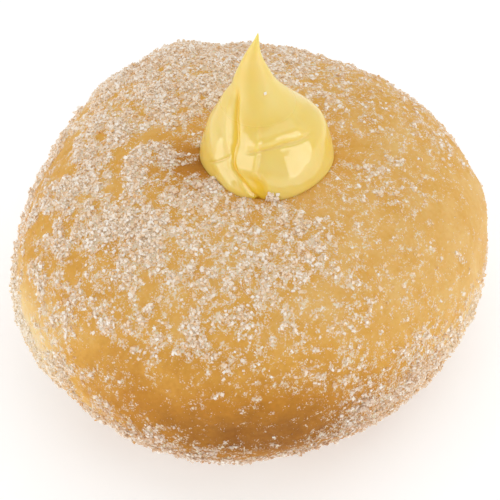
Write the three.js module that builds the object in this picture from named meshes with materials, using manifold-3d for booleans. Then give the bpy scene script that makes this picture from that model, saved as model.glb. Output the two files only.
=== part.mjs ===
// A filled, fried yeast doughnut with a tall kiss of custard piped on its crown.
// Millimetres, +Z up. The origin is the middle of the base that it rests on, and -Y is its front.
// The bun is a solid of revolution with an uneven outline, a flat foot and a dimple where the filling
// went in. The custard is one piped drop: it fills the dimple, overhangs it and is drawn to a point.
import * as THREE from "three";
import { mergeVertices } from "three/addons/utils/BufferGeometryUtils.js";
import Module from "manifold-3d";

// --- the bun ---------------------------------------------------------------------------------------
const bunRadius = 45; // mean radius at the waist, where the bun is widest
const bunRise = 29.5; // from the waist up to the crown
const bunDrop = 20.5; // from the waist down to the round bottom, before it is pressed flat
const footPress = 1; // how much of the round bottom is pressed flat where the bun stands
const crownFullness = 2.4; // power of the superellipse above the waist: 2 is an ellipse, 3 is boxier
const baseFullness = 2.3; // the same below the waist
const bunRings = 15; // rings from the waist to the crown, and again from the waist to the foot
const bunSegments = 64;

// The dough proofed unevenly, so its outline is a blend of an oval, a soft triangle and a soft square.
const outlineSwells = [
  { sides: 2, swell: 0.023, turn: 66 },
  { sides: 3, swell: 0.02, turn: 0 },
  { sides: 4, swell: 0.017, turn: 17 },
  { sides: 5, swell: 0.004, turn: 48 },
];

// --- the dimple in the crown -----------------------------------------------------------------------
const dimpleX = 3.4; // the filling nozzle went in a little right of the middle
const dimpleY = -0.2;
const dimpleDepth = 3;
const dimpleSpread = 18; // distance at which the dimple has faded to about a third

// --- the custard -----------------------------------------------------------------------------------
const custardRadius = 12.4; // at its widest
const custardDeep = 0.93; // its front to back size, as a share of its width
const custardRise = 25.7; // from its widest level to its tip
const custardSeat = 6.5; // from its widest level down to its underside in the dimple
const custardHeight = 27; // of its widest level above the bun's waist
const custardRings = 11; // rings below the widest level, and twice as many above it
const custardSegments = 44;
const seatGap = 0.3; // between the custard and the crust that it sits in

// The pulls that shape its outline, as shares of its radius and of the height above or below.
const undersideFlat = 0.58; // how far out the underside stays level
const bellyDrop = 0.7; // how far down the belly stays upright
const bellyPull = { out: 0.95, up: 0.36 }; // the full belly
const neckPull = { out: 0.15, up: 0.61 }; // the hollow neck

// As the nozzle was drawn away, the drop leaned back and to the left, and its tip curled right.
const leanBack = 4;
const leanLeft = 2.6;
const leanSpan = [0.18, 0.7]; // shares of the rise between which it leans left
const tipCurl = 0.6;
const curlSpan = [0.8, 1]; // and between which the tip curls back

// The ribbon of custard folded over itself: a furrow winds down its front left side to a notch.
const foldTop = { turn: 183, height: 18.5 }; // degrees from +X, and height above the widest level
const foldFoot = { turn: 266, height: -0.5 };
const foldHalfWidth = 13; // degrees
const foldDepth = 0.11; // share of the radius
const foldFadeIn = 0.25; // share of its length over which it deepens

const mergeDistance = 1e-3; // vertices nearer than this are one

const radians = THREE.MathUtils.degToRad;
const { smoothstep } = THREE.MathUtils;

/** Moves each vertex of a geometry by a function that changes a Vector3 in place. */
function reshape(geometry, move) {
  const place = geometry.getAttribute("position");
  const vertex = new THREE.Vector3();
  for (let i = 0; i < place.count; i++) {
    vertex.fromBufferAttribute(place, i);
    move(vertex);
    place.setXYZ(i, vertex.x, vertex.y, vertex.z);
  }
  return geometry;
}

/** Revolves a profile of (radius, height) points, which starts and ends on the axis, about Z. */
function revolve(profile, segments) {
  return new THREE.LatheGeometry(profile, segments).rotateX(Math.PI / 2);
}

/** A point of a superellipse quarter, at an angle from its widest level towards its pole. */
function superellipsePoint(angle, height, fullness) {
  const power = 2 / fullness;
  return new THREE.Vector2(
    bunRadius * Math.cos(angle) ** power,
    height * Math.sin(angle) ** power,
  );
}

/** The bun's side outline, from the middle of its foot up to its crown, with the waist at height 0. */
function bunProfile() {
  const footHeight = footPress - bunDrop;
  const footAngle = Math.asin((-footHeight / bunDrop) ** (baseFullness / 2));
  const profile = [new THREE.Vector2(0, footHeight)];
  for (let ring = bunRings; ring >= 0; ring--) {
    const point = superellipsePoint((footAngle * ring) / bunRings, bunDrop, baseFullness);
    profile.push(new THREE.Vector2(point.x, -point.y));
  }
  for (let ring = 1; ring < bunRings; ring++) {
    const angle = ((Math.PI / 2) * ring) / bunRings;
    profile.push(superellipsePoint(angle, bunRise, crownFullness));
  }
  profile.push(new THREE.Vector2(0, bunRise));
  return profile;
}

/** How much wider the bun's outline is than a circle, in the direction of a vertex. */
function outlineAt(vertex) {
  const direction = Math.atan2(vertex.y, vertex.x);
  return outlineSwells.reduce(
    (width, { sides, swell, turn }) => width + swell * Math.cos(sides * (direction - radians(turn))),
    1,
  );
}

/** The bun with its uneven outline and its dimple, and its waist at height 0. */
function bunGeometry() {
  return reshape(revolve(bunProfile(), bunSegments), (vertex) => {
    const width = outlineAt(vertex);
    vertex.x *= width;
    vertex.y *= width;
    if (vertex.z > 0) {
      const distance = Math.hypot(vertex.x - dimpleX, vertex.y - dimpleY);
      vertex.z -= dimpleDepth * Math.exp(-((distance / dimpleSpread) ** 2));
    }
  });
}

/** The custard's side outline, from the middle of its underside to its tip, grown by an offset. */
function custardProfile(offset) {
  const widest = custardRadius + offset;
  const underside = new THREE.CubicBezierCurve(
    new THREE.Vector2(0, -custardSeat - offset),
    new THREE.Vector2(undersideFlat * widest, -custardSeat - offset),
    new THREE.Vector2(widest, -bellyDrop * custardSeat),
    new THREE.Vector2(widest, 0),
  );
  const drop = new THREE.CubicBezierCurve(
    new THREE.Vector2(widest, 0),
    new THREE.Vector2(bellyPull.out * widest, bellyPull.up * custardRise),
    new THREE.Vector2(neckPull.out * widest, neckPull.up * custardRise),
    new THREE.Vector2(0, custardRise + offset),
  );
  return [...underside.getPoints(custardRings), ...drop.getPoints(2 * custardRings).slice(1)];
}

/** How deep the fold is in the direction and at the height of a vertex, as a share of the radius. */
function foldAt(vertex) {
  const along = (foldTop.height - vertex.z) / (foldTop.height - foldFoot.height);
  const foldTurn = THREE.MathUtils.lerp(foldTop.turn, foldFoot.turn, along);
  const direction = THREE.MathUtils.radToDeg(Math.atan2(vertex.y, vertex.x));
  const aside = THREE.MathUtils.euclideanModulo(direction - foldTurn + 180, 360) - 180;
  const fade = smoothstep(along, 0, foldFadeIn) * smoothstep(vertex.z, -custardSeat, foldFoot.height);
  return foldDepth * fade * Math.exp(-((aside / foldHalfWidth) ** 2));
}

/** The custard with its fold and its lean, and its widest level at height 0. */
function custardGeometry(offset) {
  return reshape(revolve(custardProfile(offset), custardSegments), (vertex) => {
    const folded = 1 - foldAt(vertex);
    const climb = Math.max(vertex.z, 0) / custardRise;
    vertex.x *= folded;
    vertex.x += tipCurl * smoothstep(climb, ...curlSpan) - leanLeft * smoothstep(climb, ...leanSpan);
    vertex.y = vertex.y * folded * custardDeep + leanBack * climb ** 2;
  }).translate(dimpleX, dimpleY, custardHeight);
}

const wasm = await Module();
wasm.setup();

/** A closed geometry as a solid that can be cut. */
function solidOf(geometry) {
  const bare = new THREE.BufferGeometry();
  bare.setAttribute("position", geometry.getAttribute("position"));
  bare.setIndex(geometry.getIndex());
  const merged = mergeVertices(bare, mergeDistance);
  return new wasm.Manifold(
    new wasm.Mesh({
      numProp: 3,
      vertProperties: merged.getAttribute("position").array,
      triVerts: new Uint32Array(merged.getIndex().array),
    }),
  );
}

/** A solid as a geometry that can be shown. */
function geometryOf(solid) {
  const { vertProperties, triVerts } = solid.getMesh();
  const geometry = new THREE.BufferGeometry();
  geometry.setAttribute("position", new THREE.BufferAttribute(vertProperties, 3));
  geometry.setIndex(new THREE.BufferAttribute(triVerts, 1));
  return geometry;
}

function material(colour, roughness) {
  return new THREE.MeshStandardMaterial({ color: colour, roughness, metalness: 0 });
}

/** The fried bun, with the custard's seat pressed into its dimple. */
function dough() {
  const bun = solidOf(bunGeometry()).subtract(solidOf(custardGeometry(seatGap)));
  const mesh = new THREE.Mesh(geometryOf(bun), material(0xdcaa5a, 0.6));
  mesh.name = "dough";
  return mesh;
}

/** The piped kiss of custard. */
function custard() {
  const mesh = new THREE.Mesh(custardGeometry(0), material(0xf2d676, 0.25));
  mesh.name = "custard";
  return mesh;
}

/** The whole doughnut, standing on its foot with the origin under the middle of its outline. */
function doughnut() {
  const whole = new THREE.Group();
  whole.add(dough(), custard());
  const box = new THREE.Box3().setFromObject(whole);
  const middle = box.getCenter(new THREE.Vector3());
  whole.position.set(-middle.x, -middle.y, -box.min.z);
  const standing = new THREE.Group();
  standing.add(whole);
  return standing;
}

export default doughnut();
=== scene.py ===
"""A sugared yeast doughnut with a kiss of custard on top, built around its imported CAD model.
Metres throughout, in the CAD frame: +Z up, the front at -Y, standing on the floor at height 0.
It goes together as in a bakery: the fried bun, the piped custard, the sugar, and then the table."""
import math

import bpy
import numpy as np
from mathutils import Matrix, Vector, noise
from mathutils.bvhtree import BVHTree


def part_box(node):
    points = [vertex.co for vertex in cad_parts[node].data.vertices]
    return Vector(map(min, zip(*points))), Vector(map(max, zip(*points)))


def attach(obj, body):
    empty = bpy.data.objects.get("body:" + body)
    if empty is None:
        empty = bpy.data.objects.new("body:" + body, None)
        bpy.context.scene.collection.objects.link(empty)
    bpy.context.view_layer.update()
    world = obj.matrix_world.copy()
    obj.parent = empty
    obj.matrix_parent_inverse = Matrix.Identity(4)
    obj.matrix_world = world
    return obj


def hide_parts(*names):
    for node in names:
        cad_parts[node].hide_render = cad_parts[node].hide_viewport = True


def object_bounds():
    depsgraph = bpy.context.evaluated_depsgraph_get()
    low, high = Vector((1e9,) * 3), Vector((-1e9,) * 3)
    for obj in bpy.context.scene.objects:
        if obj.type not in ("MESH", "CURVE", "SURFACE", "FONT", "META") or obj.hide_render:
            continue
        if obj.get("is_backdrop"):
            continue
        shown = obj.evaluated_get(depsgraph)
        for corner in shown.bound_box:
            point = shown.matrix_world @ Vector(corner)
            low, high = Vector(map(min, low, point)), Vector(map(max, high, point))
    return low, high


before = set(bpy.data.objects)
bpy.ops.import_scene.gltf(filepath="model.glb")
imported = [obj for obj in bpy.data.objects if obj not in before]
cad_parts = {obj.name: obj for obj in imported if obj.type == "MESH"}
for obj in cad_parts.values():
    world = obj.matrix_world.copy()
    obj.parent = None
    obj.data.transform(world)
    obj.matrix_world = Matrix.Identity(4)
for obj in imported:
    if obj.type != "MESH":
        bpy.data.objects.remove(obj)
cad_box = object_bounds()


# ---- The bun -------------------------------------------------------------------------------------
# A round of enriched yeast dough, proofed on a tray and fried on one side and then the other. The
# fat browns both faces and leaves a pale band at the waist, where the dough floats above the oil.
# The kiss of custard sits in the dimple that the filling nozzle leaves in its crown.

MM = 0.001


def select_only(piece):
    """Makes one piece the only thing that an operator acts on."""
    bpy.ops.object.select_all(action="DESELECT")
    piece.select_set(True)
    bpy.context.view_layer.objects.active = piece


def merged_copy(node, name):
    """A new piece with a CAD node's shape, its loose triangles merged into one skin."""
    piece = bpy.data.objects.new(name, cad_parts[node].data.copy())
    piece.data.materials.clear()
    bpy.context.scene.collection.objects.link(piece)
    select_only(piece)
    bpy.ops.object.mode_set(mode="EDIT")
    bpy.ops.mesh.select_all(action="SELECT")
    bpy.ops.mesh.remove_doubles(threshold=0.01 * MM)
    bpy.ops.mesh.tris_convert_to_quads()
    bpy.ops.object.mode_set(mode="OBJECT")
    return piece


def apply_modifier(piece, kind, **settings):
    """Adds a modifier to a piece and applies it."""
    select_only(piece)
    bpy.ops.object.modifier_add(type=kind)
    modifier = piece.modifiers[-1]
    for setting, value in settings.items():
        setattr(modifier, setting, value)
    bpy.ops.object.modifier_apply(modifier=modifier.name)


def points_of(piece):
    """A piece's vertices as an array of places."""
    points = np.empty(len(piece.data.vertices) * 3)
    piece.data.vertices.foreach_get("co", points)
    return points.reshape(-1, 3)


def normals_of(piece):
    """A piece's outward direction at each vertex."""
    normals = np.empty(len(piece.data.vertices) * 3)
    piece.data.vertex_normals.foreach_get("vector", normals)
    return normals.reshape(-1, 3)


def move_points(piece, points):
    """Puts a piece's vertices in new places."""
    piece.data.vertices.foreach_set("co", points.ravel())
    piece.data.update()


def noise_at(points, size, seed):
    """Smooth noise from about -1 to 1, with features of a given size, at each place."""
    shift = Vector((seed * 7.3, seed * 3.1, seed * 5.7))
    return np.array([noise.noise(Vector(point) / size + shift) for point in points])


def smooth_step(value, low, high):
    """0 below low, 1 above high, and a soft ramp between."""
    share = np.clip((value - low) / (high - low), 0, 1)
    return share * share * (3 - 2 * share)


SKIN = 0.54 * MM  # size of the bun's faces, fine enough for its wrinkles
bun_low, bun_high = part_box("dough")
WAIST = 0.415 * bun_high.z  # height where the bun is widest
bun_middle = np.array([(bun_low.x + bun_high.x) / 2, (bun_low.y + bun_high.y) / 2, WAIST])

bun = merged_copy("dough", "bun")
apply_modifier(bun, "REMESH", mode="VOXEL", voxel_size=SKIN)
apply_modifier(bun, "SMOOTH", factor=0.6, iterations=45)  # the CAD solid's facets melt away

# Proofing leaves slow swells, frying leaves dents and blisters, and the crust dries in wrinkles.
for feature, size, depth in (
    ("swells", 17 * MM, 1.5 * MM),
    ("dents", 6 * MM, 0.55 * MM),
    ("blisters", 2.2 * MM, 0.26 * MM),
    ("wrinkles", 1.1 * MM, 0.12 * MM),
):
    texture = bpy.data.textures.new(feature, "CLOUDS")
    texture.noise_scale = size
    texture.noise_depth = 1
    apply_modifier(
        bun, "DISPLACE", texture=texture, texture_coords="LOCAL", strength=depth, mid_level=0.5
    )


def directions(points):
    """Which way each place lies from the bun's middle, as degrees around it and above its waist."""
    outward = points - bun_middle
    around = np.degrees(np.arctan2(outward[:, 1], outward[:, 0]))
    above = np.degrees(np.arctan2(outward[:, 2], np.hypot(outward[:, 0], outward[:, 1])))
    return around, above


def patch(around, above, middle, reach):
    """A soft patch on the bun, 1 at its middle, both in degrees around and above the waist."""
    aside = (around - middle[0] + 180) % 360 - 180
    return np.exp(-((aside / reach[0]) ** 2) - ((above - middle[1]) / reach[1]) ** 2)


kiss_low, kiss_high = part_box("custard")
KISS_RADIUS = (kiss_high.x - kiss_low.x) / 2
KISS_DEEP = 0.93  # its front to back size, as a share of its width


def off_the_custard(points):
    """How far outside the kiss's widest outline each place lies, seen from above."""
    aside = points[:, 0] - (kiss_low.x + KISS_RADIUS)
    ahead = (points[:, 1] - (kiss_low.y + KISS_RADIUS * KISS_DEEP)) / KISS_DEEP
    return np.hypot(aside, ahead) - KISS_RADIUS


# Where this bun swells or draws in: degrees around it and above its waist, how many degrees that
# reaches each way, and millimetres outwards.
BULGES = (
    ((10, 10), (18, 16), 0.75),
    ((112, 25), (7, 14), 1.1),
    ((99, 25), (5, 12), -0.9),
    ((75, 26), (12, 14), 0.4),
    ((-161, 1), (13, 12), 0.75),
    ((-132, -8), (16, 12), -0.8),
    ((-80, -12), (14, 10), -0.6),
    ((-40, -8), (18, 12), 0.45),
    ((-18, -4), (12, 12), 0.4),
    ((94, 36), (24, 16), -0.95),
    ((179, 8), (11, 14), -0.85),
    ((-29, -6), (12, 12), -0.7),
)
bun_points = points_of(bun)
bun_outward = normals_of(bun)
around, above = directions(bun_points)
for middle, reach, swell in BULGES:
    bun_points += bun_outward * patch(around, above, middle, reach)[:, None] * swell * MM
bun_points[:, 2] = np.maximum(bun_points[:, 2], 0)  # it stands flat on its foot
move_points(bun, bun_points)
select_only(bun)
bpy.ops.object.shade_smooth()


def browning_and_shade_at(points):
    """How dark the crust is drawn, by its frying and by painted shade: 0 is the palest waist, 1 is
    the darkest brown.
    """
    around, above = directions(points)
    slow = noise_at(points, 14 * MM, 1)
    quick = noise_at(points, 4 * MM, 2)
    # The crown is golden, and its left edge is drawn a little darker with painted shade. The chin
    # and the jaw beside it lay longest in the fat, and are darker still with painted shade, since
    # less light reaches the front low down. The dark in the pit left of the custard and where the
    # crust meets the custard is painted shade. The waist stayed pale.
    top = 0.42 + 0.05 * slow - 0.08 * patch(around, above, (-20, 25), (50, 30))
    top += 0.06 * patch(around, above, (178, 20), (22, 14))
    chin_brown_and_shade = 0.39 * patch(around, above, (-80, 1), (34, 13))
    jaw_brown_and_shade = 0.2 * patch(around, above, (-110, 3), (42, 17))
    pit_shade = 0.34 * patch(around, above, (-160, 66), (24, 9))
    seat_shade = 0.13 * np.exp(-((off_the_custard(points) / (2.2 * MM)) ** 2)) * (above > 0)
    pale = patch(around, above, (-153, 3), (17, 11))
    pale += 0.3 * patch(around, above, (-8, -4), (30, 10))
    # The underside is browned, and is drawn darker still with painted shade.
    underside_brown_and_shade = 0.66 * smooth_step(-above, 0, 24)
    waist = (0.12 - 0.3 * chin_brown_and_shade) * np.exp(-(((above + 8 + 4 * slow) / 8) ** 2))
    brown = (top + chin_brown_and_shade + jaw_brown_and_shade + pit_shade + seat_shade) * (1 - underside_brown_and_shade) + underside_brown_and_shade - waist
    return np.clip(brown - 0.42 * np.clip(pale, 0, 1.2) + 0.05 * quick, 0, 1)


# Where the sugar lies thicker or thinner than the rest: degrees around the bun and above its waist,
# how far it reaches, and the share of the crust that it hides or bares.
DRIFTS_AND_BARE_PATCHES = (
    # the front and the chin
    ((-136, -3), (14, 9), 0.2),
    ((-132, 20), (13, 9), -0.25),
    ((-131, 0), (10, 6), 0.16),
    ((-122, -10), (18, 7), 0.16),
    ((-120, -12), (20, 6), 0.15),
    ((-120, 14), (13, 8), -0.2),
    ((-106, -6), (13, 5), 0.4),
    ((-105, -10), (22, 8), 0.18),
    ((-100, -17), (30, 6), 0.22),
    ((-94, 3), (32, 13), -0.4),
    ((-92, 8), (42, 14), -0.6),
    ((-90, 8), (9, 7), -0.25),
    ((-90, 22), (14, 7), 0.12),
    ((-78, 37), (22, 8), -0.15),
    ((-70, 0), (11, 8), 0.18),
    ((-62, 10), (12, 7), 0.12),
    ((-60, 6), (18, 10), 0.32),
    ((-50, 5), (12, 9), 0.25),
    ((-46, -3), (16, 9), 0.45),
    ((-45, 29), (14, 9), -0.22),
    # the right
    ((26, 22), (12, 8), 0.15),
    ((28, 23), (12, 8), 0.12),
    ((42, 37), (18, 10), -0.22),
    ((-38, -11), (18, 6), 0.2),
    ((-35, -9), (22, 10), 0.34),
    ((-21, -4), (15, 10), 0.5),
    ((-8, 8), (15, 7), -0.3),
    ((-5, 16), (18, 10), -0.4),
    ((-2, 22), (52, 23), -0.5),
    # the back
    ((104, 36), (20, 12), 0.32),
    ((105, 28), (28, 14), 0.36),
    ((122, 22), (14, 9), 0.16),
    ((124, 22), (16, 9), 0.12),
    # the left
    ((150, 38), (12, 8), 0.1),
    ((170, 28), (16, 14), -0.15),
    ((-178, 21), (26, 10), -0.45),
    ((-169, 0), (8, 8), 0.16),
    ((-160, -2), (14, 8), 0.2),
    ((-156, 5), (11, 9), 0.2),
    ((-154, 35), (14, 9), 0.45),
    ((-148, 6), (24, 9), -0.12),
    # round the kiss
    ((10, 52), (12, 8), -0.32),
    ((30, 50), (14, 8), -0.2),
    ((130, 68), (20, 6), -0.3),
    ((145, 66), (24, 8), -0.25),
    ((170, 66), (10, 6), 0.3),
    ((-170, 53), (15, 9), -0.25),
    ((-157, 67), (13, 4), -0.5),
    ((-155, 52), (22, 6), -0.15),
    ((-155, 60), (28, 10), -0.36),
    ((-112, 66), (14, 7), -0.45),
    ((-90, 50), (60, 20), 0.22),
    ((-72, 50), (10, 7), 0.2),
    ((-72, 53), (14, 10), 0.3),
    ((-65, 69), (9, 4), 1.5),
    ((-48, 48), (14, 12), -0.22),
    ((-45, 64), (15, 8), -1.2),
)
THICKEST_SIDE = 140  # degrees around: the back left


def sugar_cover_at(points):
    """What share of the crust the sugar hides: more at the back, the left and the waist."""
    around, above = directions(points)
    cover = 0.47 + 0.2 * np.cos(np.radians(around - THICKEST_SIDE))
    cover += 0.4 * np.exp(-(((above + 11) / 12) ** 2))
    for middle, reach, share in DRIFTS_AND_BARE_PATCHES:
        cover += share * patch(around, above, middle, reach)
    cover -= 0.8 * np.exp(-((off_the_custard(points) / (2 * MM)) ** 2)) * (above > 0)
    return np.clip(cover - 0.6 * smooth_step(-above, 22, 34), -0.5, 0.95)


def write_attribute(piece, name, values):
    """Gives a piece a number at each vertex, for its material to read."""
    attribute = piece.data.attributes.new(name, "FLOAT", "POINT")
    attribute.data.foreach_set("value", values.astype(np.float32))


def drift_at(points):
    """How deep in sugar each place lies: above 0 it is covered, and the more above, the deeper."""
    drifts = 0.35 * noise_at(points, 8 * MM, 11) + 0.45 * noise_at(points, 3.5 * MM, 12)
    leftness = (1 - np.cos(np.radians(directions(points)[0]))) / 2
    clumps = 0.45 * noise_at(points, 1.6 * MM, 13) + 0.65 * noise_at(points, 0.9 * MM, 14)
    uneven = drifts * (0.5 + 1.3 * leftness**2.5) + clumps
    return 2.4 * (sugar_cover_at(points) - 0.5) + uneven / uneven.std()


bun_points = points_of(bun)
drift = drift_at(bun_points)
caked = 0.32 * MM * smooth_step(drift, -0.4, 2.4)  # the depth of dust that the fat has caught
bun_points += normals_of(bun) * caked[:, None]
bun_points[:, 2] = np.maximum(bun_points[:, 2], 0)
move_points(bun, bun_points)
browning_and_shade = browning_and_shade_at(bun_points)
write_attribute(bun, "browning_and_shade", browning_and_shade)
write_attribute(bun, "dusting", drift)


def colour(hex_code):
    """An sRGB hex colour as the linear one that a shader takes."""
    channels = [int(hex_code[i : i + 2], 16) / 255 for i in (1, 3, 5)]
    linear = [c / 12.92 if c <= 0.04045 else ((c + 0.055) / 1.055) ** 2.4 for c in channels]
    return (*linear, 1)


def new_material(name):
    """An empty node material, and its tree."""
    material = bpy.data.materials.new(name)
    material.use_nodes = True
    material.node_tree.nodes.clear()
    return material, material.node_tree


def add(tree, kind, inputs=None, **settings):
    """Adds a node. Its inputs, by name or number, are values or the sockets they come from."""
    node = tree.nodes.new(kind)
    for setting, value in settings.items():
        setattr(node, setting, value)
    for name, value in (inputs or {}).items():
        if isinstance(value, bpy.types.NodeSocket):
            tree.links.new(value, node.inputs[name])
        else:
            node.inputs[name].default_value = value
    return node


def colour_ramp(tree, factor, stops):
    """A colour ramp through (share, hex colour) stops."""
    ramp = add(tree, "ShaderNodeValToRGB", {"Fac": factor})
    elements = ramp.color_ramp.elements
    while len(elements) < len(stops):
        elements.new(0.5)
    for element, (share, hex_code) in zip(elements, stops):
        element.position = share
        element.color = colour(hex_code)
    return ramp.outputs["Color"]


# From the pale waist, by way of the golden crown, to the darkest fried brown; the darker tones also
# serve for painted shade.
CRUST_TONES = (
    (0.0, "#F6E7CA"),
    (0.2, "#F0CB88"),
    (0.45, "#E0A84E"),
    (0.68, "#C4852F"),
    (1.0, "#8A541D"),
)
BLOTCH = 5 * MM  # browning varies from blotch to blotch
FRECKLE = 0.9 * MM  # blisters that caught the fat
DUST = 0.4 * MM  # powdered sugar is far finer: its flecks are drawn this coarse, so that they show
SPECK = 0.36 * MM  # the broken crystals in it are this far apart
PORE = 0.5 * MM  # the grain of the crust itself


def fried_crust():
    """Fried dough: a dull, faintly greasy skin, freckled where the fat caught its blisters."""
    material, tree = new_material("fried dough crust")
    place = add(tree, "ShaderNodeTexCoord").outputs["Object"]
    browning_and_shade = add(tree, "ShaderNodeAttribute", attribute_name="browning_and_shade").outputs["Fac"]
    dusting = add(tree, "ShaderNodeAttribute", attribute_name="dusting").outputs["Fac"]
    blotches = add(
        tree, "ShaderNodeTexNoise", {"Vector": place, "Scale": 1 / BLOTCH, "Detail": 4.0}
    ).outputs["Fac"]
    freckles = add(
        tree, "ShaderNodeTexNoise", {"Vector": place, "Scale": 1 / FRECKLE, "Detail": 2.0}
    ).outputs["Fac"]
    mottle = add(
        tree, "ShaderNodeMath", {0: blotches, 1: 0.22, 2: browning_and_shade}, operation="MULTIPLY_ADD"
    ).outputs[0]
    mottle = add(
        tree, "ShaderNodeMath", {0: freckles, 1: 0.16, 2: mottle}, operation="MULTIPLY_ADD"
    ).outputs[0]
    # The mean of both patterns comes off again, so that the browning and painted shade alone set
    # the middle tone.
    shade = add(tree, "ShaderNodeMath", {0: mottle, 1: 0.19}, operation="SUBTRACT").outputs[0]
    crust = colour_ramp(tree, shade, CRUST_TONES)
    # Sugar dust too fine to see as grains pales the crust in and around the drifts.
    haze = add(
        tree, "ShaderNodeTexNoise", {"Vector": place, "Scale": 1 / DUST, "Detail": 3.0}
    ).outputs["Fac"]
    haze = add(
        tree, "ShaderNodeMath", {0: haze, 1: 9.0, 2: dusting}, operation="MULTIPLY_ADD"
    ).outputs[0]
    haze = add(
        tree,
        "ShaderNodeMapRange",
        {"Value": haze, "From Min": 3.9, "From Max": 5.4, "To Max": 0.92},
    ).outputs["Result"]
    # The broken crystals in it show as specks: each cell of the pattern may hold one.
    cells = add(tree, "ShaderNodeTexVoronoi", {"Vector": place, "Scale": 1 / SPECK})
    speck = add(
        tree,
        "ShaderNodeMapRange",
        {"Value": cells.outputs["Distance"], "From Min": 0.52, "From Max": 0.25, "To Max": 0.75},
    ).outputs["Result"]
    lottery = add(tree, "ShaderNodeSeparateColor", {"Color": cells.outputs["Color"]}).outputs["Red"]
    chance = add(
        tree,
        "ShaderNodeMapRange",
        {"Value": dusting, "From Min": -1.9, "From Max": 1.2, "To Max": 0.7},
    ).outputs["Result"]
    present = add(tree, "ShaderNodeMath", {0: lottery, 1: chance}, operation="LESS_THAN").outputs[0]
    speck = add(tree, "ShaderNodeMath", {0: speck, 1: present}, operation="MULTIPLY").outputs[0]
    powder = add(tree, "ShaderNodeMath", {0: haze, 1: speck}, operation="MAXIMUM").outputs[0]
    dusted = add(
        tree,
        "ShaderNodeMix",
        {0: powder, 6: crust, 7: colour("#EFE2CA")},
        data_type="RGBA",
    ).outputs[2]
    grain = add(
        tree, "ShaderNodeTexNoise", {"Vector": place, "Scale": 1 / PORE, "Detail": 3.0}
    ).outputs["Fac"]
    bump = add(
        tree, "ShaderNodeBump", {"Height": grain, "Strength": 0.35, "Distance": 0.12 * MM}
    ).outputs["Normal"]
    # Pores and dust break up its gloss, so little of the room is mirrored in it.
    shader = add(
        tree,
        "ShaderNodeBsdfPrincipled",
        {
            "Base Color": dusted,
            "Roughness": 0.55,
            "IOR": 1.45,
            "Specular IOR Level": 0.15,
            "Subsurface Weight": 0.25,
            "Subsurface Radius": (1.0, 0.5, 0.2),
            "Subsurface Scale": 1.5 * MM,
            "Normal": bump,
        },
    )
    add(tree, "ShaderNodeOutputMaterial", {"Surface": shader.outputs["BSDF"]})
    return material


bun.data.materials.append(fried_crust())
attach(bun, "root")
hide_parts("dough")


# ---- The custard ---------------------------------------------------------------------------------
# Set custard, piped through the crown until it stood up in a kiss and drawn off to a point. It is
# smooth and wet. The ribbon folded over itself as it left the nozzle, which left a deep furrow down
# the front left and a lip across the right lobe.

KISS_WIDEST = kiss_low.z + 6.5 * MM  # height where the kiss is widest
KISS_RISE = 25.7  # mm from there up to its tip
LEVELS = 60  # heights at which the middle of its outline is found, because it leans

kiss = merged_copy("custard", "custard_kiss")
apply_modifier(kiss, "SUBSURF", levels=3, render_levels=3)

# Each point of the kiss has a height above its widest level and a radius, both in mm, and a turn in
# degrees from +X. All the shapes below are drawn by these three.
kiss_points = points_of(kiss)
kiss_outward = normals_of(kiss)
height = (kiss_points[:, 2] - KISS_WIDEST) / MM
levels = np.linspace(height.min(), height.max(), LEVELS)
level_of = np.clip(np.digitize(height, levels), 1, LEVELS - 1)
level_points = [kiss_points[level_of == level] for level in range(1, LEVELS)]
middles = [
    [level[:, axis].mean() if len(level) else 0 for level in level_points] for axis in (0, 1)
]
level_heights = (levels[1:] + levels[:-1]) / 2
aside_x = kiss_points[:, 0] - np.interp(height, level_heights, middles[0])
aside_y = kiss_points[:, 1] - np.interp(height, level_heights, middles[1])
turn = np.degrees(np.arctan2(aside_y, aside_x)) % 360
radius = np.hypot(aside_x, aside_y) / MM


def ridge(distance, width):
    """A smooth ridge, 1 along its line, by the distance from it."""
    return np.exp(-((distance / width) ** 2))


# The solid has a wide hollow where the ribbon folded. It is filled here, and a narrow furrow takes
# its place.
hollow_turn = np.interp(height, (-0.5, 18.5), (266, 183))
hollow_along = smooth_step(18.5 - height, 0, 4.75) * smooth_step(height, -6.5, -0.5)
hollow = 0.105 * radius * hollow_along * ridge((turn - hollow_turn + 180) % 360 - 180, 13)

# The furrow winds from high on the left down the front. There the ribbon was laid over itself, so
# its near edge stands up in a narrow band, and the left lobe bulges beside it.
FURROW_HEIGHTS = (0, 1.7, 2.9, 3.9, 4.6, 5.6, 7.4, 9.4, 11, 12.6, 13.9, 15.2, 16.6, 18)
FURROW_TURNS = (261, 253, 248.5, 243, 238, 235.5, 236, 237, 235.5, 232.5, 228, 221.5, 217, 219)
furrow_turn = np.interp(height, FURROW_HEIGHTS, FURROW_TURNS)
aside = radius * np.radians((turn - furrow_turn + 180) % 360 - 180)  # mm to the right of it
along = smooth_step(-height, -18.2, -15.5) * smooth_step(height, -4, -1)
furrow = -0.38 * ridge(aside, 0.55)
band = 0.6 * np.clip((aside - 0.2) / 3.6, 0, 1) * smooth_step(-aside, -4.6, -3.7)
band = band * smooth_step(height, 3.5, 6) * smooth_step(-height, -15, -8)
left_lobe = 0.14 * ridge(aside + 1.0, 0.4) * smooth_step(-height, -6.5, -5)
left_lobe = left_lobe + 0.8 * ridge(aside + 3.6, 2.6) * ridge(height - 1.8, 3.4)

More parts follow.
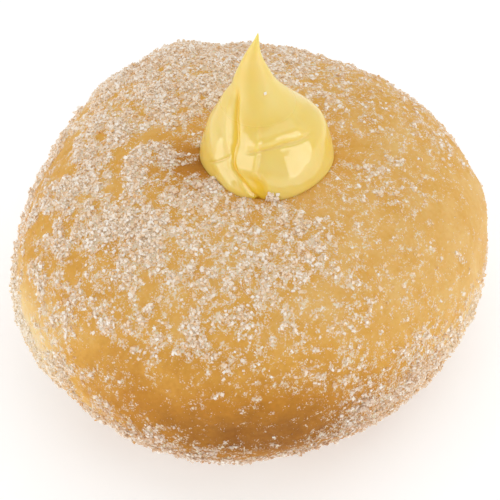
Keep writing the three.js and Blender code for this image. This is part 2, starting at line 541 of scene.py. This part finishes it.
# It ends in a notch at the foot, with a fine rim, and the foot is tucked in at both front corners.
notch_turn = np.interp(height, (-1, 1.5, 3, 4.2, 5.5), (266, 263.5, 260.5, 257, 252))
notch_width = np.interp(height, (0, 1.5, 3, 5), (1.9, 1.7, 1.5, 1.1))
notch = ridge(radius * np.radians(turn - notch_turn) / notch_width, 1)
notch = notch * smooth_step(-height, -6, -2.5)
notch_rim = 0.14 * ridge(radius * np.radians(turn - 270.5) + 0.35 * (height - 3), 0.5)
relief = hollow + along * (furrow + band + left_lobe) - 0.5 * notch
relief += notch_rim * smooth_step(-height, -6.5, -5) * smooth_step(height, -1, 1)
foot_corners = ridge(turn - 217, 24) + ridge(turn - 322, 24)
relief -= 1.5 * foot_corners * smooth_step(-height, -1, 2.6)

# The lip runs across the right lobe, and faintly on across the left one.
lip_height = np.interp(turn, (250, 270, 295, 340), (8.4, 9.1, 9.6, 9.0))
above_lip = height - lip_height - 0.2 * noise_at(kiss_points, 5 * MM, 5)
lip_along = smooth_step(turn, 246, 262) * smooth_step(-turn, -340, -318)
relief += lip_along * (0.8 * ridge(above_lip - 1.4, 1.2) - 0.4 * ridge(above_lip, 0.24))
line_height = 4.5 + 0.15 * (turn - 215)
line_along = smooth_step(turn, 206, 214) * smooth_step(-turn, -234, -228)
relief -= line_along * 0.22 * ridge(height - line_height, 0.22)

# A nozzle never leaves an even drop: each side sags and thickens in places of its own, and the
# point is drawn up and curls to the right.
relief += 0.2 * noise_at(kiss_points, 9 * MM, 3) * smooth_step(-height, -20, -12)
sideways = np.cos(np.radians(turn))
left = 0.52 * ridge(height - 7.6, 3.2) - 0.55 * ridge(height - 15.3, 1.6)
left = left + 0.52 * ridge(height - 21, 3.2)
right = 0.9 * ridge(height - 8.2, 2.4) + 0.55 * ridge(height - 19.6, 3)
growth = left + (right - left) * smooth_step(sideways, -0.8, 0.8)
kiss_points += kiss_outward * relief[:, None] * MM
kiss_points[:, 0] += growth * sideways * MM
tip_share = smooth_step(height, 20, KISS_RISE)
kiss_points[:, 2] += 1.1 * tip_share * MM
kiss_points[:, 0] += 0.35 * tip_share**2 * MM
move_points(kiss, kiss_points)
apply_modifier(kiss, "SMOOTH", factor=0.4, iterations=2)
select_only(kiss)
bpy.ops.object.shade_smooth()

# Painted shade: the custard is drawn a deeper yellow in its furrow and notch and along its foot,
# where its folds and the crust shade it.
in_furrow = along * smooth_step(-np.abs(aside), -0.8, -0.35)
fold_shade = in_furrow + 1.2 * notch + 0.3 * smooth_step(-height, -2, 3)
write_attribute(kiss, "painted_fold_shade", np.clip(fold_shade, 0, 1))
write_attribute(kiss, "drawn", smooth_step(height, 10.2, 14.5))  # its neck is drawn out and dull

# The crust closes on the custard: it rises at the front corners, and is drawn in until it touches.
kiss_points = points_of(kiss)
kiss_faces = [face.vertices[:] for face in kiss.data.polygons]
kiss_skin = BVHTree.FromPolygons([Vector(point) for point in kiss_points], kiss_faces)
beside_kiss = np.abs(off_the_custard(bun_points)) < 6 * MM
near_seat = np.flatnonzero(beside_kiss & (bun_points[:, 2] > WAIST))
seat_turn = np.degrees(
    np.arctan2(
        bun_points[near_seat, 1] - kiss_low.y - KISS_RADIUS * KISS_DEEP,
        bun_points[near_seat, 0] - kiss_low.x - KISS_RADIUS,
    )
)
rise = np.exp(-(((seat_turn + 42) / 24) ** 2)) + np.exp(-(((seat_turn + 140) / 22) ** 2))
outside = np.exp(-((off_the_custard(bun_points[near_seat]) / (2.5 * MM)) ** 2))
bun_points[near_seat, 2] += 0.9 * MM * rise * outside
for index in near_seat:
    touching, _, _, gap = kiss_skin.find_nearest(Vector(bun_points[index]), 4 * MM)
    if touching is not None:
        pull = 1 - float(smooth_step(gap, 2 * MM, 4 * MM))
        bun_points[index] += pull * (np.array(touching) - bun_points[index])
move_points(bun, bun_points)


CLOUD = 7 * MM  # paler and deeper yellow drift through it in clouds of this size
RIPPLE = 2.5 * MM  # its wet skin is faintly rippled


def set_custard():
    """Set custard: a smooth, wet, slightly cloudy gel, so it shines and light soaks into it."""
    material, tree = new_material("set custard")
    place = add(tree, "ShaderNodeTexCoord").outputs["Object"]
    cloud = add(
        tree, "ShaderNodeTexNoise", {"Vector": place, "Scale": 1 / CLOUD, "Detail": 2.0}
    ).outputs["Fac"]
    painted_fold_shade = add(tree, "ShaderNodeAttribute", attribute_name="painted_fold_shade").outputs["Fac"]
    tint = colour_ramp(tree, cloud, ((0.3, "#F8D562"), (0.7, "#F8DC7C")))
    # Painted shade: the folds and the foot turn a deeper yellow.
    tint = add(
        tree, "ShaderNodeMix", {0: painted_fold_shade, 6: tint, 7: colour("#FFD23C")}, data_type="RGBA"
    ).outputs[2]
    skin = add(
        tree, "ShaderNodeTexNoise", {"Vector": place, "Scale": 1 / RIPPLE, "Detail": 1.0}
    ).outputs["Fac"]
    bump = add(
        tree, "ShaderNodeBump", {"Height": skin, "Strength": 0.45, "Distance": 0.14 * MM}
    ).outputs["Normal"]
    drawn = add(tree, "ShaderNodeAttribute", attribute_name="drawn").outputs["Fac"]
    roughness = add(
        tree, "ShaderNodeMapRange", {"Value": drawn, "To Min": 0.1, "To Max": 0.42}
    ).outputs["Result"]
    # Its IOR is above a real gel's, so that the lights show in its wet skin as strongly as they do.
    shader = add(
        tree,
        "ShaderNodeBsdfPrincipled",
        {
            "Base Color": tint,
            "Roughness": roughness,
            "IOR": 1.8,
            "Subsurface Weight": 0.5,
            "Subsurface Radius": (1.0, 0.7, 0.25),
            "Subsurface Scale": 2 * MM,
            "Normal": bump,
        },
    )
    add(tree, "ShaderNodeOutputMaterial", {"Surface": shader.outputs["BSDF"]})
    return material


kiss.data.materials.append(set_custard())
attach(kiss, "root")
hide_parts("custard")


# ---- The sugar -----------------------------------------------------------------------------------
# Granulated sugar, which clings to the warm fat. The bun was rolled in it, so it lies in drifts and
# clumps: thick at the back, the left and the waist, and nearly gone from the right and the chin.
# Each kind of grain is one joined mesh of separate crystals at their true size.

rng = np.random.default_rng(20)

# A whole crystal is a rough block, a broken one is a chip, and the finest are splinters. Each shape
# is its corners, one crystal size across, and its faces.
BLOCK = (
    np.array([[x, y, z] for x in (-0.5, 0.5) for y in (-0.5, 0.5) for z in (-0.5, 0.5)]),
    np.array([[0, 1, 3, 2], [4, 6, 7, 5], [0, 4, 5, 1], [2, 3, 7, 6], [0, 2, 6, 4], [1, 5, 7, 3]]),
)
SPLINTER = (
    np.array([[0.5, 0.3, -0.4], [-0.5, 0.35, -0.4], [0.0, -0.55, -0.4], [0.0, 0.05, 0.5]]),
    np.array([[0, 2, 1], [0, 1, 3], [1, 2, 3], [2, 0, 3]]),
)
CHIP = (
    np.array([[0.5, 0, 0], [0, 0.5, 0], [-0.5, 0, 0], [0, -0.5, 0], [0, 0, 0.5], [0, 0, -0.5]]),
    np.array(
        [[0, 1, 4], [1, 2, 4], [2, 3, 4], [3, 0, 4], [1, 0, 5], [2, 1, 5], [3, 2, 5], [0, 3, 5]]
    ),
)

# The finished skin of the bun, as triangles to scatter the crystals on.
bun.data.calc_loop_triangles()
triangles = np.empty(len(bun.data.loop_triangles) * 3, dtype=np.int32)
bun.data.loop_triangles.foreach_get("vertices", triangles)
triangles = triangles.reshape(-1, 3)
corners = bun_points[triangles]
edges = np.cross(corners[:, 1] - corners[:, 0], corners[:, 2] - corners[:, 0])
areas = np.linalg.norm(edges, axis=1) / 2
outward = edges / np.maximum(areas[:, None] * 2, 1e-12)


def scatter_on_crust(count):
    """Random places on the bun's skin: where, which way it faces, its drift, and its browning and
    painted shade.
    """
    chosen = rng.choice(len(areas), count, p=areas / areas.sum())
    u, v = rng.random((2, count))
    past = u + v > 1
    u[past], v[past] = 1 - u[past], 1 - v[past]
    a, b, c = np.moveaxis(corners[chosen], 1, 0)
    places = a + u[:, None] * (b - a) + v[:, None] * (c - a)
    a, b, c = drift[triangles[chosen]].T
    depths = a + u * (b - a) + v * (c - a)
    return places, outward[chosen], depths, browning_and_shade[triangles[chosen, 0]]


def turned(normals, tip):
    """Random frames for crystals: each stands on the skin, spun freely and tipped by up to tip."""
    count = len(normals)
    spin = rng.normal(size=(count, 3))
    up = normals + tip[:, None] * rng.normal(size=(count, 3))
    up /= np.linalg.norm(up, axis=1)[:, None]
    side = np.cross(up, spin)
    side /= np.linalg.norm(side, axis=1)[:, None]
    return np.stack([side, np.cross(up, side), up], axis=1)


# Each crystal's width, depth and height as shares of its size: it lies on its broad face.
LEAST_SIDES = (0.65, 0.65, 0.3)
MOST_SIDES = (1.15, 1.15, 0.6)
CHIPPED = 0.13  # how far each corner may be off, as a share of the size


def sucrose():
    """Sucrose is clear, so a lone crystal takes the crust's colour, and a chipped heap is white."""
    material, tree = new_material("sucrose crystal")
    cloudiness = add(tree, "ShaderNodeAttribute", attribute_name="cloudiness").outputs["Fac"]
    browning_and_shade = add(tree, "ShaderNodeAttribute", attribute_name="browning_and_shade").outputs["Fac"]
    behind = colour_ramp(tree, browning_and_shade, CRUST_TONES)
    body = add(
        tree,
        "ShaderNodeMix",
        {0: cloudiness, 6: behind, 7: colour("#F6F0E7")},
        data_type="RGBA",
    ).outputs[2]
    roughness = add(
        tree, "ShaderNodeMapRange", {"Value": cloudiness, "To Min": 0.06, "To Max": 0.35}
    ).outputs["Result"]
    # A faint warm glow is painted in for the light that passes from crystal to crystal and off the
    # crust, so even their shaded sides are warm.
    shader = add(
        tree,
        "ShaderNodeBsdfPrincipled",
        {
            "Base Color": body,
            "Roughness": roughness,
            "IOR": 1.54,
            "Emission Color": colour("#E8D3B5"),
            "Emission Strength": 0.08,
        },
    )
    add(tree, "ShaderNodeOutputMaterial", {"Surface": shader.outputs["BSDF"]})
    return material


crystal_finish = sucrose()


def crystals(name, shape, places, normals, sizes, tip, cloudiness, browning_and_shade_below):
    """One joined mesh of rough crystals of one shape, each of its own size, turn and cloudiness."""
    shape_corners, shape_faces = shape
    count = len(places)
    corner_count = len(shape_corners)
    face_count, sides = shape_faces.shape
    shapes = shape_corners + rng.uniform(-CHIPPED, CHIPPED, (count, corner_count, 3))
    proportions = rng.uniform(LEAST_SIDES, MOST_SIDES, (count, 3))
    shapes = shapes * (sizes[:, None] * proportions)[:, None, :]
    points = np.einsum("nvk,nkj->nvj", shapes, turned(normals, tip)) + places[:, None, :]
    points[..., 2] = np.maximum(points[..., 2], 0.02 * MM)  # none goes through the table
    faces = shape_faces[None] + corner_count * np.arange(count)[:, None, None]
    mesh = bpy.data.meshes.new(name)
    mesh.vertices.add(count * corner_count)
    mesh.loops.add(faces.size)
    mesh.polygons.add(count * face_count)
    mesh.vertices.foreach_set("co", points.ravel())
    mesh.loops.foreach_set("vertex_index", faces.ravel().astype(np.int32))
    mesh.polygons.foreach_set("loop_start", np.arange(0, faces.size, sides, dtype=np.int32))
    mesh.update(calc_edges=True)
    mesh.shade_flat()
    mesh.materials.append(crystal_finish)
    piece = bpy.data.objects.new(name, mesh)
    bpy.context.scene.collection.objects.link(piece)
    # The crust's colour shows through the foot of a crystal, and less and less up to its top.
    risen = 0.5 + 0.5 * np.clip(shape_corners[:, 2] + 0.5, 0, 1)
    write_attribute(piece, "cloudiness", np.outer(cloudiness, risen).ravel())
    write_attribute(piece, "browning_and_shade", np.repeat(browning_and_shade_below, corner_count))
    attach(piece, "root")


# Each kind's shape, how many there are, its smallest and largest size in mm, the depth of drift
# that catches it, how strictly, and how many mm it may lie above the crust on its fellows.
KINDS = (
    ("sugar_coarse", BLOCK, 16600, (0.44, 0.68), 0.4, 0.65, 0.24),
    ("sugar_middling", BLOCK, 16600, (0.36, 0.5), 0.25, 0.8, 0.14),
    ("sugar_small", CHIP, 24900, (0.34, 0.48), 0.1, 1.0, 0.12),
    ("sugar_fine", SPLINTER, 49800, (0.3, 0.46), -0.1, 1.3, 0.1),
    ("sugar_dust", SPLINTER, 49800, (0.24, 0.38), -0.4, 1.9, 0.1),
)

# One crystal flew up and stuck high on the kiss, and a small heap has climbed its foot.
HIGH_CRYSTAL = (2.2, -1.4, 63.3)  # mm
HEAP_MIDDLE = (3.5, -12.7, 46.4)
HEAP_REACH = (1.2, 0.6, 1.7)
heap = np.array(HEAP_MIDDLE) + rng.uniform(-1, 1, (70, 3)) * HEAP_REACH
strays = [kiss_skin.find_nearest(Vector(place) * MM)[:2] for place in (HIGH_CRYSTAL, *heap)]
STRAY_DEPTH = 1.8  # they are as cloudy as a deep drift

TRIES = 5  # places that are tried for each crystal that stays

for kind, shape, wanted, (smallest, largest), least_drift, softness, lift in KINDS:
    places, normals, depths, behind = scatter_on_crust(TRIES * wanted)
    caught = depths + softness * rng.normal(size=len(depths)) > least_drift
    clear = (off_the_custard(places) > 0) | (places[:, 2] < kiss_low.z - MM)
    kept = np.flatnonzero(caught & clear & (places[:, 2] > 0.5 * MM))[:wanted]
    if kind == "sugar_coarse":
        stuck = kept[: len(strays)]
        places[stuck] = [place for place, _ in strays]
        normals[stuck] = [facing for _, facing in strays]
        depths[stuck] = STRAY_DEPTH
    sizes = rng.uniform(smallest, largest, len(kept)) * MM
    pile = np.clip(depths[kept], 0, 3) * rng.random(len(kept)) * lift * MM
    centres = places[kept] + normals[kept] * pile[:, None]
    tip = 0.35 + 0.7 * (pile > 0.08 * MM)  # one that lies on others is tipped further
    # Deep drifts are the whitest. The crystals are clearer down the flank, and most of all on the
    # chin, and white again below the waist.
    around, above = directions(centres)
    low_down = smooth_step(-above, -14, 12)
    cloudiness = 0.66 + 0.17 * depths[kept] - 0.25 * low_down + 0.3 * rng.normal(size=len(kept))
    cloudiness += 0.14 * noise_at(centres, 1.4 * MM, 21)
    cloudiness -= 0.25 * patch(around, above, (-92, 2), (36, 13))
    cloudiness += 0.3 * smooth_step(-above, 4, 14)
    cloudiness = np.clip(cloudiness, 0.1, 1)
    crystals(kind, shape, centres, normals[kept], sizes, tip, cloudiness, behind[kept])


# ---- The table, the lights and the camera --------------------------------------------------------
# A plain sheet of white paper on a table, under two low soft boxes at the front corners and a wide
# soft light overhead. The camera looks down on the front.

bpy.ops.object.select_all(action="DESELECT")
bpy.ops.mesh.primitive_plane_add(size=6)
table = bpy.context.object
table.name = "white_table"
paper, paper_tree = new_material("white paper")
paper_shader = add(
    paper_tree,
    "ShaderNodeBsdfPrincipled",
    {
        "Base Color": colour("#E8E8E8"),
        "Roughness": 0.9,
        "Specular IOR Level": 0.2,
        "Emission Color": colour("#FFFFFF"),
        "Emission Strength": 0.36,
    },
)
add(paper_tree, "ShaderNodeOutputMaterial", {"Surface": paper_shader.outputs["BSDF"]})
table.data.materials.append(paper)
table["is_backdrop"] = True


def soft_box(name, around, above, away, size, watts):
    """A rectangular light aimed at the doughnut, by degrees around it and above its waist."""
    lamp = bpy.data.lights.new(name, "AREA")
    lamp.shape = "RECTANGLE"
    lamp.size, lamp.size_y = size
    lamp.energy = watts
    light = bpy.data.objects.new(name, lamp)
    bpy.context.scene.collection.objects.link(light)
    flat = away * math.cos(math.radians(above))
    light.location = (
        flat * math.cos(math.radians(around)),
        flat * math.sin(math.radians(around)),
        away * math.sin(math.radians(above)) + WAIST,
    )
    aim = Vector((0, 0, WAIST)) - light.location
    light.rotation_euler = aim.to_track_quat("-Z", "Y").to_euler()


# Degrees around and above, then metres away, metres wide and high, and watts.
soft_box("right_box", -36, 11, 0.6, (0.5, 0.3), 0.95)
soft_box("left_box", -147, 11, 0.6, (0.64, 0.34), 1.2)
soft_box("top_box", 60, 72, 0.9, (1.2, 1.2), 2.7)

# White walls behind and beside the table, and a darker room in front of it.
world = bpy.data.worlds.new("studio")
world.use_nodes = True
room = world.node_tree
direction = add(room, "ShaderNodeTexCoord").outputs["Generated"]
backwards = add(room, "ShaderNodeSeparateXYZ", {"Vector": direction}).outputs["Y"]
brightness = add(
    room,
    "ShaderNodeMapRange",
    {"Value": backwards, "From Min": -1.0, "From Max": 0.4, "To Min": 0.39, "To Max": 0.66},
    interpolation_type="SMOOTHSTEP",
).outputs["Result"]
room.links.new(brightness, room.nodes["Background"].inputs["Strength"])
room.nodes["Background"].inputs["Color"].default_value = colour("#FFFFFF")
bpy.context.scene.world = world
bpy.context.scene.view_settings.view_transform = "Standard"

CAMERA_ABOVE = math.radians(48)  # how far the camera looks down
CAMERA_AWAY = 450 * MM
VIEW_WIDTH = 95.6 * MM  # what the picture spans at the doughnut
aim = Vector((-0.4 * MM, 0.4 * MM, WAIST + 0.4 * MM))
camera = bpy.data.objects.new("camera", bpy.data.cameras.new("camera"))
bpy.context.scene.collection.objects.link(camera)
camera.data.lens = camera.data.sensor_width * CAMERA_AWAY / VIEW_WIDTH
camera.data.clip_start = 0.01
camera.location = aim + CAMERA_AWAY * Vector((0, -math.cos(CAMERA_ABOVE), math.sin(CAMERA_ABOVE)))
camera.rotation_euler = (math.pi / 2 - CAMERA_ABOVE, 0, 0)
bpy.context.scene.camera = camera

sizes = {"cad": cad_box, "visual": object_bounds()}
